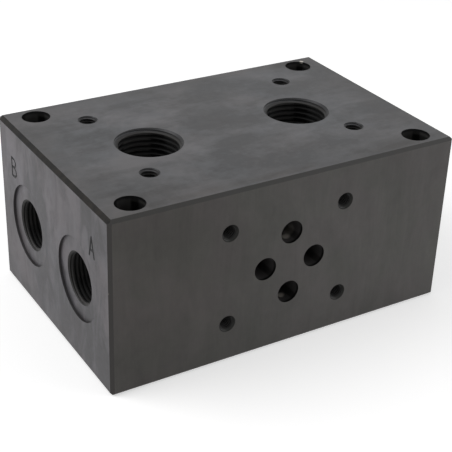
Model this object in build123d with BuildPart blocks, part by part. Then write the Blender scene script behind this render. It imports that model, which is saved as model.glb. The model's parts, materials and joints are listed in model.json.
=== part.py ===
"""Single-station hydraulic manifold block with a size 6 (ISO 4401-03) valve face.

The block is one machined steel body. Its valve face takes a directional valve,
its top face has the pressure and tank ports, and one end face has the two work
ports. Every passage is a straight drilling. The two long drillings that enter
from the far end face are closed by screwed plugs.

Frame: millimetres, X along the block, Y from the valve face to the back face,
Z up. The origin is the centre of the underside. Tapped holes are drawn at their
tap drill diameter.
"""

import os
from math import radians, tan

from build123d import *

# Block
block_length = 120.0
block_width = 80.0
block_height = 58.0
edge_chamfer = 1.0
top_end_chamfer = 1.2
cut_overrun = 2.0
drill_point_angle = 118.0

# Mounting holes, straight through from the top to the underside
mounting_hole_diameter = 9.0
mounting_hole_from_end = 10.0
mounting_hole_from_side = 7.0

# Valve face pattern, each place measured from the lower left bolt hole
valve_bolt_places = [(0.0, 0.0), (40.5, -0.75), (40.5, 31.75), (0.0, 31.0)]
valve_port_p = (21.5, 25.9)
valve_port_t = (21.5, 5.1)
valve_port_a = (12.7, 15.5)
valve_port_b = (30.2, 15.5)
valve_pattern_middle = (21.5, 15.5)
valve_port_diameter = 7.5
valve_tap_drill = 4.2
valve_tap_drill_depth = 13.5
valve_tap_mouth = 5.6

# Pressure and tank ports, G 1/2, on the top face
main_port_spacing = 54.0
main_tap_drill = 19.0
main_tap_drill_depth = 19.0
main_mouth = 21.4
tank_core_diameter = 11.0

# Four M6 tapped holes on the top face
top_tapped_spacing_x = 73.0
top_tapped_spacing_y = 42.2
top_tapped_offset_y = 2.4
top_tap_drill = 5.0
top_tap_drill_depth = 14.0
top_tap_mouth = 6.3

# Work ports, G 3/8, on the end face, a little below mid-height
work_port_spacing = 36.0
work_port_drop = 0.6
work_tap_drill = 15.25
work_tap_drill_depth = 17.0
work_mouth = 16.9
work_spotface_diameter = 26.6
work_spotface_depth = 0.8
work_gallery_diameter = 9.0

# Long drillings to the pressure and tank ports, and their G 1/8 plugs
gallery_diameter = 7.5
gallery_overrun = 1.0
plug_diameter = 9.7
plug_length = 8.0
plug_recess = 0.8
plug_end_chamfer = 0.4
plug_clearance = 0.03
plug_bore_mouth = 10.3
plug_socket_across_flats = 5.0
plug_socket_depth = 4.0

# Places worked out from the sizes above
left_x = -block_length / 2
right_x = block_length / 2
front_y = -block_width / 2
middle_z = block_height / 2
mounting_spacing_x = block_length - 2 * mounting_hole_from_end
mounting_spacing_y = block_width - 2 * mounting_hole_from_side
main_port_x = main_port_spacing / 2
work_port_y = work_port_spacing / 2
work_port_z = middle_z - work_port_drop
valve_origin_x = -valve_pattern_middle[0]
valve_origin_z = middle_z - valve_pattern_middle[1]
pressure_gallery_z = valve_origin_z + valve_port_p[1]
tank_gallery_z = valve_origin_z + valve_port_t[1]


def valve_face_plane(place):
    """Plane on the valve face at a place of its pattern, facing out of the block."""
    x = valve_origin_x + place[0]
    z = valve_origin_z + place[1]
    return Plane(origin=(x, front_y, z), x_dir=(1, 0, 0), z_dir=(0, -1, 0))


def left_end_plane(y, z):
    """Plane on the end face with the work ports, facing out of the block."""
    return Plane(origin=(left_x, y, z), x_dir=(0, -1, 0), z_dir=(-1, 0, 0))


def right_end_plane(y, z):
    """Plane on the end face with the plugs, facing out of the block."""
    return Plane(origin=(right_x, y, z), x_dir=(0, 1, 0), z_dir=(1, 0, 0))


def drilling(*steps, mouth=None, spotface=None, flat_end=False):
    """Solid to cut away for a stepped drilling, down -Z from a face at the origin.

    Each step is (diameter, depth). A step ends in the cone of its drill point,
    which runs into the next, narrower step. mouth is the diameter of a 45 degree
    countersink, and spotface is the (diameter, depth) of a flat recess that the
    rest starts from. flat_end gives the last step a square end.
    """
    start = -spotface[1] if spotface else 0.0
    first_radius = steps[0][0] / 2
    mouth_radius = mouth / 2 if mouth else first_radius
    outer_radius = spotface[0] / 2 if spotface else mouth_radius
    outline = [(0, cut_overrun), (outer_radius, cut_overrun)]
    if spotface:
        outline.append((outer_radius, start))
    outline.append((mouth_radius, start))
    if mouth:
        outline.append((first_radius, start - (mouth_radius - first_radius)))
    cone_slope = tan(radians(drill_point_angle / 2))
    inner_radii = [diameter / 2 for diameter, depth in steps[1:]] + [0.0]
    for (diameter, depth), inner_radius in zip(steps, inner_radii):
        radius = diameter / 2
        outline.append((radius, -depth))
        outline.append((inner_radius, -depth - (radius - inner_radius) / cone_slope))
    if flat_end:
        outline[-1] = (0, -steps[-1][1])
    with BuildPart() as tool:
        with BuildSketch(Plane.XZ):
            with BuildLine():
                Polyline(*outline, close=True)
            make_face()
        revolve(axis=Axis.Z)
    return tool.part


def gallery_depth(start, end):
    """Depth of a drilling that reaches just past the axis of the one it meets."""
    return abs(end - start) + gallery_overrun


# What is cut from each face
pressure_port = drilling((main_tap_drill, main_tap_drill_depth), mouth=main_mouth)
tank_port = drilling(
    (main_tap_drill, main_tap_drill_depth),
    (tank_core_diameter, gallery_depth(block_height, tank_gallery_z)),
    mouth=main_mouth,
)
top_tapped_hole = drilling((top_tap_drill, top_tap_drill_depth), mouth=top_tap_mouth)
valve_tapped_hole = drilling((valve_tap_drill, valve_tap_drill_depth), mouth=valve_tap_mouth)
plug_bore = drilling(
    (plug_diameter, plug_recess + plug_length), mouth=plug_bore_mouth, flat_end=True
)
pressure_gallery = drilling((gallery_diameter, gallery_depth(right_x, 0.0)))
tank_gallery = drilling((gallery_diameter, gallery_depth(right_x, -main_port_x)))
main_valve_port = drilling((valve_port_diameter, gallery_depth(front_y, 0.0)))


def work_port(valve_port):
    """Work port on the end face, with its gallery as far as a valve port's drilling."""
    valve_port_x = valve_origin_x + valve_port[0]
    return drilling(
        (work_tap_drill, work_tap_drill_depth),
        (work_gallery_diameter, gallery_depth(left_x, valve_port_x)),
        mouth=work_mouth,
        spotface=(work_spotface_diameter, work_spotface_depth),
    )


def valve_work_port(y):
    """Valve port drilled in from the valve face as far as a work port's gallery."""
    return drilling((valve_port_diameter, gallery_depth(front_y, y)))


with BuildPart() as manifold_block:
    with BuildSketch():
        plan = Rectangle(block_length, block_width)
        chamfer(plan.vertices(), edge_chamfer)
    extrude(amount=block_height)
    with BuildSketch(Plane.XZ):
        with Locations((0, middle_z)):
            side = Rectangle(block_length, block_height)
        chamfer(side.vertices().group_by(Axis.Y)[0], edge_chamfer)
        chamfer(side.vertices().group_by(Axis.Y)[-1], top_end_chamfer)
    extrude(amount=block_width, both=True, mode=Mode.INTERSECT)
    with BuildSketch(Plane.YZ):
        with Locations((0, middle_z)):
            end = Rectangle(block_width, block_height)
        chamfer(end.vertices(), edge_chamfer)
    extrude(amount=block_length, both=True, mode=Mode.INTERSECT)

    with BuildSketch():
        with GridLocations(mounting_spacing_x, mounting_spacing_y, 2, 2):
            Circle(mounting_hole_diameter / 2)
    extrude(amount=block_height, mode=Mode.SUBTRACT)

    with Locations((main_port_x, 0, block_height)):
        add(pressure_port, mode=Mode.SUBTRACT)
    with Locations((-main_port_x, 0, block_height)):
        add(tank_port, mode=Mode.SUBTRACT)
    with Locations((0, top_tapped_offset_y, block_height)):
        with GridLocations(top_tapped_spacing_x, top_tapped_spacing_y, 2, 2):
            add(top_tapped_hole, mode=Mode.SUBTRACT)

    with Locations(left_end_plane(-work_port_y, work_port_z)):
        add(work_port(valve_port_a), mode=Mode.SUBTRACT)
    with Locations(left_end_plane(work_port_y, work_port_z)):
        add(work_port(valve_port_b), mode=Mode.SUBTRACT)

    with Locations(right_end_plane(0, pressure_gallery_z)):
        add([plug_bore, pressure_gallery], mode=Mode.SUBTRACT)
    with Locations(right_end_plane(0, tank_gallery_z)):
        add([plug_bore, tank_gallery], mode=Mode.SUBTRACT)

    with Locations([valve_face_plane(place) for place in valve_bolt_places]):
        add(valve_tapped_hole, mode=Mode.SUBTRACT)
    with Locations(valve_face_plane(valve_port_p), valve_face_plane(valve_port_t)):
        add(main_valve_port, mode=Mode.SUBTRACT)
    with Locations(valve_face_plane(valve_port_a)):
        add(valve_work_port(-work_port_y), mode=Mode.SUBTRACT)
    with Locations(valve_face_plane(valve_port_b)):
        add(valve_work_port(work_port_y), mode=Mode.SUBTRACT)

# Headless plug with a hexagon socket, its outer face at the origin, going down -Z
with BuildPart() as screw_plug:
    with BuildSketch():
        Circle(plug_diameter / 2 - plug_clearance)
    extrude(amount=-plug_length)
    chamfer(screw_plug.edges(), plug_end_chamfer)
    with BuildSketch():
        RegularPolygon(plug_socket_across_flats / 2, 6, major_radius=False)
    extrude(amount=-plug_socket_depth, mode=Mode.SUBTRACT)

with BuildPart() as pressure_gallery_plug:
    with Locations(right_end_plane(0, pressure_gallery_z).offset(-plug_recess)):
        add(screw_plug.part)

with BuildPart() as tank_gallery_plug:
    with Locations(right_end_plane(0, tank_gallery_z).offset(-plug_recess)):
        add(screw_plug.part)

manifold_block.part.label = "manifold_block"
pressure_gallery_plug.part.label = "pressure_gallery_plug"
tank_gallery_plug.part.label = "tank_gallery_plug"

os.makedirs("parts", exist_ok=True)
export_step(manifold_block.part, "parts/manifold_block.step")
export_step(pressure_gallery_plug.part, "parts/pressure_gallery_plug.step")
export_step(tank_gallery_plug.part, "parts/tank_gallery_plug.step")
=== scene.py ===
"""Looks of a hydraulic manifold block: blackened steel, tapped ports and stamped port letters."""

import json
import math

import bmesh
import bpy
from mathutils import Matrix, Vector


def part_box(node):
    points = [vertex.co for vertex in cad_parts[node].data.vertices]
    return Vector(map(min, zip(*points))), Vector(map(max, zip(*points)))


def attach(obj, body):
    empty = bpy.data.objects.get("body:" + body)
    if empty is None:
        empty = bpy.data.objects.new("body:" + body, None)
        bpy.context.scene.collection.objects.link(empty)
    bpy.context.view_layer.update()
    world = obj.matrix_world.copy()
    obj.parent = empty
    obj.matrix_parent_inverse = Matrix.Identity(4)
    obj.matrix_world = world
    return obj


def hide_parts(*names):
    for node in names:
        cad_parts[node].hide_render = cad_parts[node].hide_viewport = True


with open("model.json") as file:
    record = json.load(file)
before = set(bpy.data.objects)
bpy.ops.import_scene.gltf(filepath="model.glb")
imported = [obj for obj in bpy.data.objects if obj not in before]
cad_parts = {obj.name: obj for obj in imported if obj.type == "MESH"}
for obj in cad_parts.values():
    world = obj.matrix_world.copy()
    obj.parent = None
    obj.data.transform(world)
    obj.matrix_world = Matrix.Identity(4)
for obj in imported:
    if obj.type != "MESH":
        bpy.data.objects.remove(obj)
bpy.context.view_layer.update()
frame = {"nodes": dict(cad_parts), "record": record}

MM = 0.001
block_low, block_high = (Vector(corner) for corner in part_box("manifold_block"))
mounts = {mount["name"]: mount for mount in frame["record"]["mounts"]}

# Threads: sizes in millimetres, flank half angle in degrees
G_HALF = {"major": 20.955, "pitch": 1.814, "flank": 27.5, "depth": 15.0, "steps": 96}
G_THREE_EIGHTHS = {"major": 16.662, "pitch": 1.337, "flank": 27.5, "depth": 13.0, "steps": 80}
M6 = {"major": 6.0, "pitch": 1.0, "flank": 30.0, "depth": 11.0, "steps": 40}
M5 = {"major": 5.0, "pitch": 0.8, "flank": 30.0, "depth": 10.5, "steps": 36}
root_flat = 0.12
crest_sink = 0.06
spotface_depth = 0.8

# Port letters on the end face, in millimetres. Strokes are in units of the letter's
# height, from its lower left corner as read.
letter_height = 6.3
letter_width = 0.5
stroke_width = 0.85
stroke_depth = 0.35
LETTERS = {
    "A": [
        [(0.0, 0.0), (0.25, 1.0), (0.5, 0.0)],
        [(0.09, 0.33), (0.41, 0.33)],
    ],
    "B": [
        [(0.0, 0.0), (0.0, 1.0), (0.33, 0.98), (0.48, 0.84), (0.46, 0.64), (0.3, 0.53), (0.0, 0.52)],
        [(0.3, 0.53), (0.5, 0.4), (0.53, 0.2), (0.38, 0.03), (0.0, 0.0)],
    ],
}
letter_middle = {"A": (-28.8, 44.7), "B": (28.5, 44.2)}


# Camera ------------------------------------------------------------------------------

camera_place = Vector((-174.21, -282.69, 205.18)) * MM
camera_aim = Vector((-0.35, -3.31, 23.57)) * MM
camera_roll = 2.07
camera_lens = 91.42


def add_camera():
    """Camera above and to the left of the valve face, turned slightly about its axis."""
    data = bpy.data.cameras.new("camera")
    data.lens = camera_lens
    camera = bpy.data.objects.new("camera", data)
    bpy.context.scene.collection.objects.link(camera)
    aim_turn = (camera_aim - camera_place).to_track_quat("-Z", "Y").to_matrix().to_4x4()
    roll_turn = Matrix.Rotation(math.radians(camera_roll), 4, "Z")
    camera.matrix_world = Matrix.Translation(camera_place) @ aim_turn @ roll_turn
    bpy.context.scene.camera = camera


# Cutters -----------------------------------------------------------------------------


def add_object(name, mesh):
    """Object that holds a mesh, in the scene."""
    made = bpy.data.objects.new(name, mesh)
    bpy.context.scene.collection.objects.link(made)
    return made


def cutter(name, shape, place=None):
    """Object for a closed bmesh with its faces turned outwards, moved to its place."""
    bmesh.ops.recalc_face_normals(shape, faces=shape.faces)
    if place is not None:
        shape.transform(place)
    mesh = bpy.data.meshes.new(name)
    shape.to_mesh(mesh)
    shape.free()
    return add_object(name, mesh)


def tap(name, thread, wall_radius, mouth, axis):
    """Solid like a tap in its hole: what it takes out of the wall is the thread's groove.

    Its surface is a grid wound round the hole. A column goes down the hole at one
    angle and repeats the groove's four corners for each turn, and each column stands
    a little higher than the one before, so the last meets the first one turn up.
    """
    pitch, steps = thread["pitch"], thread["steps"]
    major_radius = thread["major"] / 2
    land_radius = wall_radius - crest_sink
    flank_run = (major_radius - land_radius) * math.tan(math.radians(thread["flank"]))
    corners = [
        (0.0, major_radius),
        (root_flat, major_radius),
        (root_flat + flank_run, land_radius),
        (pitch - flank_run, land_radius),
    ]
    turns_outside = 2
    rows = 4 * (turns_outside + math.ceil(thread["depth"] / pitch)) + 1
    top = turns_outside * pitch
    shape = bmesh.new()
    grid = []
    for step in range(steps):
        angle = math.tau * step / steps
        column = []
        for row in range(rows):
            drop, radius = corners[row % 4]
            if row < 5 or row >= rows - 5:
                radius = land_radius
            height = top - pitch * (row // 4 - step / steps) - drop
            at = (radius * math.cos(angle), radius * math.sin(angle), height)
            column.append(shape.verts.new(at))
        grid.append(column)
    first, last = grid[0], grid[-1]
    for here, there in zip(grid, grid[1:]):
        for row in range(rows - 1):
            shape.faces.new((here[row], here[row + 1], there[row + 1], there[row]))
    for row in range(4, rows - 1):
        shape.faces.new((last[row], last[row + 1], first[row - 3], first[row - 4]))
    upper_rim = [column[0] for column in grid] + last[1:5]
    lower_rim = [column[-1] for column in grid] + first[rows - 5 : rows - 1]
    bottom = top - pitch * (rows // 4)
    for rim, tip_height in ((upper_rim, top + 2 * pitch), (lower_rim, bottom - pitch)):
        tip = shape.verts.new((0, 0, tip_height))
        for here, there in zip(rim, rim[1:] + rim[:1]):
            shape.faces.new((here, there, tip))
    turn = Vector(axis).to_track_quat("Z", "Y").to_matrix().to_4x4()
    return cutter(name, shape, Matrix.Translation(mouth) @ turn @ Matrix.Scale(MM, 4))


def stroke(name, start, end):
    """Wedge that cuts one straight stroke of a letter into the end face, in metres.

    start and end are (y, z) in millimetres. The wedge is widest above the face.
    """
    outside = 0.2
    outer_radius = stroke_width / 2 * (stroke_depth + outside) / stroke_depth
    face_x = block_low.x / MM
    shape = bmesh.new()
    for y, z in (start, end):
        shape.verts.new((face_x + stroke_depth, y, z))
        for step in range(8):
            angle = math.tau * step / 8
            across, up = outer_radius * math.cos(angle), outer_radius * math.sin(angle)
            shape.verts.new((face_x - outside, y + across, z + up))
    bmesh.ops.convex_hull(shape, input=shape.verts)
    return cutter(name, shape, Matrix.Scale(MM, 4))


def letter_strokes(letter):
    """Cutters for the strokes of one port letter. Read from outside, y runs to the left."""
    middle_y, middle_z = letter_middle[letter]
    left_y = middle_y + letter_width * letter_height / 2
    low_z = middle_z - letter_height / 2
    cutters = []
    for line in LETTERS[letter]:
        places = [(left_y - across * letter_height, low_z + up * letter_height) for across, up in line]
        for start, end in zip(places, places[1:]):
            cutters.append(stroke("stroke", start, end))
    return cutters


def thread_taps():
    """A tap for each threaded hole of the block, at its mount's place."""
    taps = []
    top = block_high.z
    for name in ("pressure_port", "tank_port"):
        mount = mounts[name]
        mouth = Vector((mount["pos_m"][0], mount["pos_m"][1], top))
        taps.append(tap(name, G_HALF, mount["dims"]["r_mm"], mouth, mount["axis"]))
    for name in ("work_port_a", "work_port_b"):
        mount = mounts[name]
        mouth = Vector((block_low.x + spotface_depth * MM, mount["pos_m"][1], mount["pos_m"][2]))
        taps.append(tap(name, G_THREE_EIGHTHS, mount["dims"]["r_mm"], mouth, mount["axis"]))
    mount = mounts["top_tapped_holes"]
    for side_x in (-0.5, 0.5):
        for side_y in (-0.5, 0.5):
            step_x = side_x * mount["dims"]["spacing_x_mm"] * MM
            step_y = side_y * mount["dims"]["spacing_y_mm"] * MM
            mouth = Vector((mount["pos_m"][0] + step_x, mount["pos_m"][1] + step_y, block_high.z))
            taps.append(tap("top_tap", M6, mount["dims"]["hole_r_mm"], mouth, mount["axis"]))
    for name in ("valve_bolts_left", "valve_bolts_right"):
        mount = mounts[name]
        for side_z in (-0.5, 0.5):
            step_z = side_z * mount["dims"]["spacing_y_mm"] * MM
            mouth = Vector((mount["pos_m"][0], block_low.y, mount["pos_m"][2] + step_z))
            taps.append(tap("valve_tap", M5, mount["dims"]["hole_r_mm"], mouth, mount["axis"]))
    return taps


def welded_copy(node, name):
    """Closed copy of a CAD node's mesh, as an object of its own."""
    shape = bmesh.new()
    shape.from_mesh(frame["nodes"][node].data)
    bmesh.ops.remove_doubles(shape, verts=shape.verts, dist=1e-7)
    bmesh.ops.dissolve_limit(shape, angle_limit=1e-4, verts=shape.verts, edges=shape.edges)
    mesh = bpy.data.meshes.new(name)
    shape.to_mesh(mesh)
    shape.free()
    return add_object(name, mesh)


def cut_with(target, cutters):
    """Takes each cutter out of the target's mesh, then deletes the cutters."""
    for tool in cutters:
        cut = target.modifiers.new("cut", "BOOLEAN")
        cut.operation = "DIFFERENCE"
        cut.solver = "MANIFOLD"
        cut.object = tool
    evaluated = target.evaluated_get(bpy.context.evaluated_depsgraph_get())
    mesh = bpy.data.meshes.new_from_object(evaluated)
    target.modifiers.clear()
    target.data = mesh
    for tool in cutters:
        bpy.data.objects.remove(tool)


def smooth_by_angle(thing, degrees):
    """Smooth shading, apart from edges sharper than the angle."""
    if "custom_normal" in thing.data.attributes:
        thing.data.attributes.remove(thing.data.attributes["custom_normal"])
    thing.data.shade_smooth()
    thing.data.set_sharp_from_angle(angle=math.radians(degrees))


# Finishes ----------------------------------------------------------------------------


class Value:
    """A socket of a finish, with arithmetic that adds the Math nodes."""

    def __init__(self, finish, socket):
        self.finish = finish
        self.socket = socket

    def math(self, operation, *values):
        """One Math node, fed by values, sockets or numbers."""
        return self.finish.node("ShaderNodeMath", {"operation": operation}, dict(enumerate(values)))

    def __add__(self, other):
        return self.math("ADD", self, other)

    def __sub__(self, other):
        return self.math("SUBTRACT", self, other)

    def __mul__(self, other):
        return self.math("MULTIPLY", self, other)

    def __radd__(self, other):
        return self.math("ADD", other, self)

    def __rsub__(self, other):
        return self.math("SUBTRACT", other, self)

    def __rmul__(self, other):
        return self.math("MULTIPLY", other, self)

    def __abs__(self):
        return self.math("ABSOLUTE", self)

    def at_most(self, other):
        return self.math("MINIMUM", self, other)

    def at_least(self, other):
        return self.math("MAXIMUM", self, other)

    def ramp(self, low, high):
        """0 at low to 1 at high, smooth between."""
        settings = {"interpolation_type": "SMOOTHSTEP"}
        inputs = {"Value": self, "From Min": low, "From Max": high}
        return self.finish.node("ShaderNodeMapRange", settings, inputs)


class Finish:
    """The node tree of a material or a world in the making."""

    def __init__(self, owner):
        owner.use_nodes = True
        self.owner = owner
        self.tree = owner.node_tree
        self.tree.nodes.clear()

    def node(self, kind, settings=None, inputs=None, out=0):
        """Adds a node and returns one of its outputs. Settings are set before the sockets."""
        made = self.tree.nodes.new(kind)
        for key, value in (settings or {}).items():
            setattr(made, key, value)
        for key, value in (inputs or {}).items():
            socket = made.inputs[key]
            if isinstance(value, Value):
                self.tree.links.new(value.socket, socket)
            else:
                socket.default_value = value
        return Value(self, made.outputs[out]) if made.outputs else None

    def place(self):
        """Place on the object, as a vector in metres."""
        return self.node("ShaderNodeTexCoord", out="Object")

    def vector(self, operation, *values, out=0):
        """Arithmetic on vectors."""
        inputs = dict(enumerate(values))
        return self.node("ShaderNodeVectorMath", {"operation": operation}, inputs, out)

    def mapped(self, vector, scale, degrees=(0.0, 0.0, 0.0)):
        """A vector turned about the axes and scaled along them."""
        turn = [math.radians(angle) for angle in degrees]
        inputs = {"Vector": vector, "Scale": scale, "Rotation": turn}
        return self.node("ShaderNodeMapping", inputs=inputs)

    def tinted(self, colour, tint):
        """A colour times a tint."""
        return self.vector("MULTIPLY", colour, tint)

    def noise(self, vector, scale, detail, roughness=0.55, distortion=0.0):
        """Noise from 0 to 1, at a scale in features for each metre."""
        inputs = {"Vector": vector, "Scale": scale, "Detail": detail}
        inputs.update({"Roughness": roughness, "Distortion": distortion})
        return self.node("ShaderNodeTexNoise", inputs=inputs)

    def parts(self, vector):
        """The three components of a vector."""
        split = self.node("ShaderNodeSeparateXYZ", inputs={0: vector})
        return [Value(self, socket) for socket in split.socket.node.outputs]

    def blend(self, factor, first, second):
        """Colour between two colours."""
        inputs = {0: factor}
        for key, colour in ((6, first), (7, second)):
            inputs[key] = colour if isinstance(colour, Value) else (*colour, 1.0)
        return self.node("ShaderNodeMix", {"data_type": "RGBA"}, inputs, 2)

    def near(self, vector, spot, radius):
        """1 at a place on the object given in millimetres, falling to 0 at the radius."""
        gap = self.vector("DISTANCE", vector, Vector(spot) * MM, out="Value")
        return 1 - gap.ramp(radius * 0.3 * MM, radius * MM)

    def bump(self, height, distance):
        """Normal raised by a height from 0 to 1, with the whole step a distance in metres."""
        return self.node("ShaderNodeBump", inputs={"Height": height, "Distance": distance})

    def surface(self, inputs):
        """Ends the finish in a Principled shader with these inputs."""
        shader = self.node("ShaderNodeBsdfPrincipled", inputs=inputs)
        self.node("ShaderNodeOutputMaterial", inputs={0: shader})
        return self.owner


# Colours of the block. A tint multiplies the colour under it.
dark_steel = (0.047, 0.0473, 0.049)
pale_steel = (0.125, 0.127, 0.133)
cool_tint = (0.985, 0.997, 1.025)
warm_tint = (1.03, 0.99, 0.99)
# Darkens and browns the faces near their edges; towards two corners of the end face this is painted
# shade.
darkening_and_shade_tint = (0.70, 0.67, 0.64)
# Painted shade on the long sides: they are made about four fifths as light, with an olive cast.
side_cool_tint_and_shade = (0.812, 0.774, 0.668)
side_warm_tint_and_shade = (0.79, 0.754, 0.702)
end_tint = (1.05, 1.0, 1.055)
# Painted shade on the chamfers and on the walls of the stamped letters, nearly black on those of the
# end face.
side_chamfer_shade = (0.031, 0.03, 0.028)
end_chamfer_shade_dark = (0.009, 0.009, 0.009)
end_chamfer_shade_pale = (0.02, 0.018, 0.016)
upright_chamfer_shade = (0.042, 0.04, 0.039)
# Painted shade in the countersinks and on the holes' walls near their mouths, lighter on the walls of
# the spotfaces.
hole_rim_shade = (0.034, 0.034, 0.035)
valve_face_rim_shade = (0.021, 0.021, 0.02)
spotface_side_shade = (0.078, 0.075, 0.077)
# Painted shade deep in the holes, lighter in the valve ports, where it stands in for light their walls
# catch.
thread_shade = (0.036, 0.035, 0.034)
valve_bolt_shade = (0.009, 0.009, 0.009)
valve_port_shade = (0.065, 0.061, 0.061)
# Bare metal of the nicks, also the colour of the painted glints in two valve ports.
bare_metal_and_glint = (0.55, 0.52, 0.47)

# Chipped edges: place in millimetres, radius
NICKS = [
    ((53.7, 36.2, 58.0), 1.5),
    ((-60.1, -39.2, 35.0), 0.5),
]

# Painted glints on the walls of two valve ports: place in millimetres, radius, strength
PAINTED_GLINTS = [
    ((0.6, -35.9, 35.8), 1.8, 0.95),
    ((2.6, -34.5, 36.8), 2.7, 0.5),
    ((0.1, -35.7, 14.9), 1.7, 0.8),
]

# Painted shade towards two corners of the end face: place in millimetres, radius, strength
PAINTED_SHADE_SPOTS = [
    ((-60.0, -40.0, 38.0), 65.0, 0.66),
    ((-60.0, 40.0, 4.0), 55.0, 0.7),
]

# Middle of the valve ports, in millimetres, and how far from it their lighter painted shade reaches
valve_ports_middle = (0.0, -36.0, 29.0)
valve_ports_reach = 24.0

# Height of the cutter's lay and the grain, in metres
lay_height = 0.014 * MM


class Zones:
    """Where things are on the block, as values from 0 to 1, and depths in metres."""

    def __init__(self, finish, place):
        normal = finish.node("ShaderNodeNewGeometry", out="Normal")
        facing = [abs(part) for part in finish.parts(normal)]
        middle = (block_low + block_high) / 2
        half = (block_high - block_low) / 2
        from_middle = finish.parts(finish.vector("SUBTRACT", place, middle))

        # How far inside the block's box, along each axis
        self.inside = [side - abs(part) for side, part in zip(half, from_middle)]
        self.on_end, self.on_side, self.on_top = [part.ramp(0.85, 0.97) for part in facing]

        # Slanted cuts that face an end: its chamfers and stamped letters
        self.slanted_end = facing[0].ramp(0.4, 0.55) * (1 - facing[0].ramp(0.8, 0.92))
        # The upright ones of those chamfers
        self.upright = facing[1].ramp(0.4, 0.6)
        # Chamfers between the top or underside and a long side
        self.slanted_side = facing[1].ramp(0.5, 0.65) * facing[2].ramp(0.5, 0.65)

        # Countersinks and walls of the holes along each axis, and how far in from a
        # face's edges its margin reaches
        self.mouths = []
        self.margins = []
        for axis in range(3):
            others = self.inside[(axis + 1) % 3].at_most(self.inside[(axis + 2) % 3])
            in_hole = others.ramp(1.4 * MM, 2.2 * MM)
            self.mouths.append((1 - facing[axis].ramp(0.8, 0.92)) * in_hole)
            self.margins.append(1 - others.ramp(0.5 * MM, 15.0 * MM))
        self.mouth = self.mouths[0].at_least(self.mouths[1]).at_least(self.mouths[2])

        # Spotfaces, and whatever lies below the faces and the spotfaces
        above_floor = 1 - self.inside[0].ramp(0.7 * MM, 0.9 * MM)
        self.spotface_wall = (1 - facing[0].ramp(0.1, 0.3)) * above_floor
        spotface_floor = self.on_end * (1 - self.inside[0].ramp(1.0 * MM, 1.4 * MM))
        nearest = self.inside[0].at_most(self.inside[1]).at_most(self.inside[2])
        self.deep = nearest.ramp(0.5 * MM, 1.3 * MM) * (1 - spotface_floor)


def cloudy_steel(finish, place, zones, clouds, mottle, lay):
    """Colour of the block's faces: clouds, a cooler or warmer cast, darker edges, and painted shade on
    the end face and the long sides.
    """
    patches = finish.noise(finish.mapped(place, (0.5, 1.0, 1.0)), 90.0, 6.0, 0.62, 0.25)
    hanging = finish.mapped(place, (1.0, 1.0, 0.35), (-32.0, 0.0, 0.0))
    wisps = finish.noise(hanging, 150.0, 6.0, 0.66, 0.7)
    drift = zones.on_top * patches + (1 - zones.on_top) * wisps
    contrast = 0.35 + 0.75 * zones.on_top + 1.15 * zones.on_end
    cloudy = (clouds - 0.5) * 3.0 + (drift - 0.5) * 2.1 + (mottle - 0.5) * 1.0
    # The end face's tone is a little lower, a painted shade on that face.
    tone = 0.5 - zones.on_end * 0.1 + cloudy * contrast + (lay - 0.5) * 0.2
    steel = finish.blend(tone.at_least(0.0).at_most(1.0), dark_steel, pale_steel)
    hue = finish.noise(place, 55.0, 4.0).ramp(0.35, 0.65)
    steel = finish.tinted(steel, finish.blend(hue, cool_tint, warm_tint))

    # Darker and browner near the edges of the top and end faces and in streaky bands along the top's
    # long edges; towards two corners of the end face this darkening is painted shade.
    margin = zones.margins[2] * zones.on_top + zones.margins[0] * zones.on_end * 0.7
    darkening_and_shade = margin * (0.55 + (patches - 0.5) * 3.2).at_least(0.0).at_most(1.0)
    from_side = zones.inside[1]
    band = from_side.ramp(0.8 * MM, 2.5 * MM) * (1 - from_side.ramp(3.5 * MM, 7.0 * MM))
    streaks = finish.noise(finish.mapped(place, (0.2, 1.0, 1.0)), 160.0, 5.0)
    darkening_and_shade = darkening_and_shade.at_least(band * zones.on_top * streaks.ramp(0.42, 0.6))
    for spot, radius, strength in PAINTED_SHADE_SPOTS:
        darkening_and_shade = darkening_and_shade.at_least(finish.near(place, spot, radius) * strength)
    steel = finish.blend(darkening_and_shade, steel, finish.tinted(steel, darkening_and_shade_tint))

    # Painted shade on the long sides, with an olive cast.
    side_tint_and_shade = finish.blend(hue, side_cool_tint_and_shade, side_warm_tint_and_shade)
    steel = finish.blend(zones.on_side, steel, finish.tinted(steel, side_tint_and_shade))
    return finish.blend(zones.on_end, steel, finish.tinted(steel, end_tint))


def shade_cuts(finish, place, zones, mottle, faces):
    """The faces' colour, with painted shade on the chamfers, letters, countersinks and holes, lighter
    in the valve ports.
    """
    colour = finish.blend(zones.slanted_side * 0.9, faces, side_chamfer_shade)
    edge = finish.blend(mottle.ramp(0.3, 0.7), end_chamfer_shade_dark, end_chamfer_shade_pale)
    slanted = finish.blend(zones.upright, edge, upright_chamfer_shade)
    colour = finish.blend(zones.slanted_end, colour, slanted)
    rim = finish.blend(zones.mouths[1], hole_rim_shade, valve_face_rim_shade)
    rim = finish.blend(zones.spotface_wall, rim, spotface_side_shade)
    colour = finish.blend(zones.mouth, colour, rim)
    in_ports = finish.near(place, valve_ports_middle, valve_ports_reach)
    valve_shade = finish.blend(in_ports, valve_bolt_shade, valve_port_shade)
    shade = finish.blend(zones.mouths[1], thread_shade, valve_shade)
    return finish.blend(zones.deep, colour, shade)


def nicks_and_glints(finish, place, colour):
    """A colour, with the nicks where bare metal shows and painted glints on the walls of two valve
    ports.
    """
    for spot, radius, strength in PAINTED_GLINTS:
        glint = finish.near(place, spot, radius) * strength
        colour = finish.blend(glint, colour, bare_metal_and_glint)
    chips = (finish.noise(place, 1300.0, 2.0) - 0.5) * 1.2
    for spot, radius in NICKS:
        chipped = (finish.near(place, spot, radius) + chips).ramp(0.7, 0.95)
        colour = finish.blend(chipped, colour, bare_metal_and_glint)
    return colour


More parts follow.
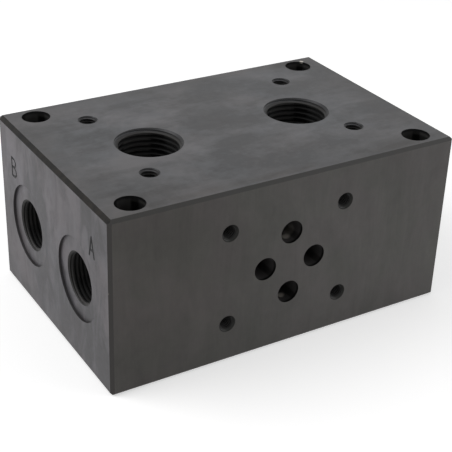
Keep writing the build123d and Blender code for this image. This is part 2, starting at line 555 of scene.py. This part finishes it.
def blackened_steel():
    """Phosphated, milled steel: cloudy, with the cutter's lay on each face and bare nicks."""
    finish = Finish(bpy.data.materials.new("blackened_steel"))
    place = finish.place()
    zones = Zones(finish, place)
    clouds = finish.noise(place, 26.0, 6.0, 0.58)
    mottle = finish.noise(place, 330.0, 4.0, 0.65)
    grain = finish.noise(place, 2600.0, 2.0, 0.6)
    lay_top = finish.noise(finish.mapped(place, (0.05, 1.0, 1.0)), 1500.0, 2.0)
    lay_upright = finish.noise(finish.mapped(place, (1.0, 1.0, 0.06)), 1300.0, 2.0)
    lay = zones.on_top * lay_top + (1 - zones.on_top) * lay_upright

    faces = cloudy_steel(finish, place, zones, clouds, mottle, lay)
    colour = shade_cuts(finish, place, zones, mottle, faces)
    mirror_like = zones.slanted_end.at_least(zones.mouth * (1 - zones.deep))
    roughness = 0.46 + (mottle - 0.5) * 0.2 + (clouds - 0.5) * 0.2 + zones.deep * 0.1
    return finish.surface({
        "Base Color": nicks_and_glints(finish, place, colour),
        "Roughness": roughness,
        "Metallic": 0.2 + 0.8 * mirror_like,
        "Specular IOR Level": 0.3,
        "Normal": finish.bump(lay * 0.4 + grain * 0.4 + mottle * 0.2, lay_height),
    })


def oxided_plug():
    """Black oxide on the screw plugs."""
    finish = Finish(bpy.data.materials.new("black_oxide"))
    place = finish.place()
    mottle = finish.noise(place, 900.0, 3.0)
    colour = finish.blend(mottle, (0.03, 0.03, 0.031), (0.06, 0.058, 0.056))
    return finish.surface({"Base Color": colour, "Roughness": 0.38 + mottle * 0.14, "Metallic": 0.5})


def wear_finish(thing, material):
    """Gives a thing one finish all over."""
    thing.data.materials.clear()
    thing.data.materials.append(material)


# Studio ------------------------------------------------------------------------------

key_watts = 4.6
side_watts = 0.7
sky_strength = 0.4
floor_glow = 0.5


def add_lamp(name, place, size, watts):
    """Square soft lamp that looks at the block's middle."""
    data = bpy.data.lights.new(name, "AREA")
    data.shape = "SQUARE"
    data.size = size
    data.energy = watts
    lamp = bpy.data.objects.new(name, data)
    bpy.context.scene.collection.objects.link(lamp)
    middle = (block_low + block_high) / 2
    lamp.location = place
    lamp.rotation_euler = (middle - lamp.location).to_track_quat("-Z", "Y").to_euler()


def seen_as_backdrop(finish):
    """1 for what the camera sees straight, in a reflection or through glass, else 0."""
    rays = [
        finish.node("ShaderNodeLightPath", out=ray)
        for ray in ("Is Camera Ray", "Is Glossy Ray", "Is Transmission Ray")
    ]
    return (rays[0] + rays[1] + rays[2]).at_most(1.0)


def add_studio():
    """White floor and world, one soft lamp over the end face and a weak one in front."""
    mesh = bpy.data.meshes.new("floor")
    half = 3.0
    corners = [(-half, -half, 0), (half, -half, 0), (half, half, 0), (-half, half, 0)]
    mesh.from_pydata(corners, [], [(0, 1, 2, 3)])
    floor = add_object("floor", mesh)
    finish = Finish(bpy.data.materials.new("floor_white"))
    diffuse = finish.node("ShaderNodeBsdfDiffuse", inputs={"Color": (0.8, 0.8, 0.8, 1.0)})
    glow = finish.node("ShaderNodeEmission", inputs={"Strength": floor_glow})
    both = finish.node("ShaderNodeAddShader", inputs={0: diffuse, 1: glow})
    factor = seen_as_backdrop(finish)
    shader = finish.node("ShaderNodeMixShader", inputs={0: factor, 1: diffuse, 2: both})
    finish.node("ShaderNodeOutputMaterial", inputs={0: shader})
    wear_finish(floor, finish.owner)

    sky = Finish(bpy.data.worlds.new("studio"))
    white = (1.0, 1.0, 1.0, 1.0)
    light = sky.node("ShaderNodeBackground", inputs={"Color": white, "Strength": sky_strength})
    backdrop = sky.node("ShaderNodeBackground", inputs={"Color": white, "Strength": 1.0})
    inputs = {0: seen_as_backdrop(sky), 1: light, 2: backdrop}
    sky.node("ShaderNodeOutputWorld", inputs={0: sky.node("ShaderNodeMixShader", inputs=inputs)})
    bpy.context.scene.world = sky.owner

    add_lamp("key", Vector((-0.66, 0.3, 0.7)), 0.7, key_watts)
    add_lamp("side", Vector((0.42, -0.36, 0.2)), 0.4, side_watts)


# The block ---------------------------------------------------------------------------

add_camera()
add_studio()

block = welded_copy("manifold_block", "dressed_block")
cut_with(block, letter_strokes("A") + letter_strokes("B"))
cut_with(block, thread_taps())
smooth_by_angle(block, 25)
wear_finish(block, blackened_steel())
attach(block, "root")
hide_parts("manifold_block")

plug_finish = oxided_plug()
for name in ("pressure_gallery_plug", "tank_gallery_plug"):
    wear_finish(frame["nodes"][name], plug_finish)

bpy.context.scene.view_settings.view_transform = "Standard"
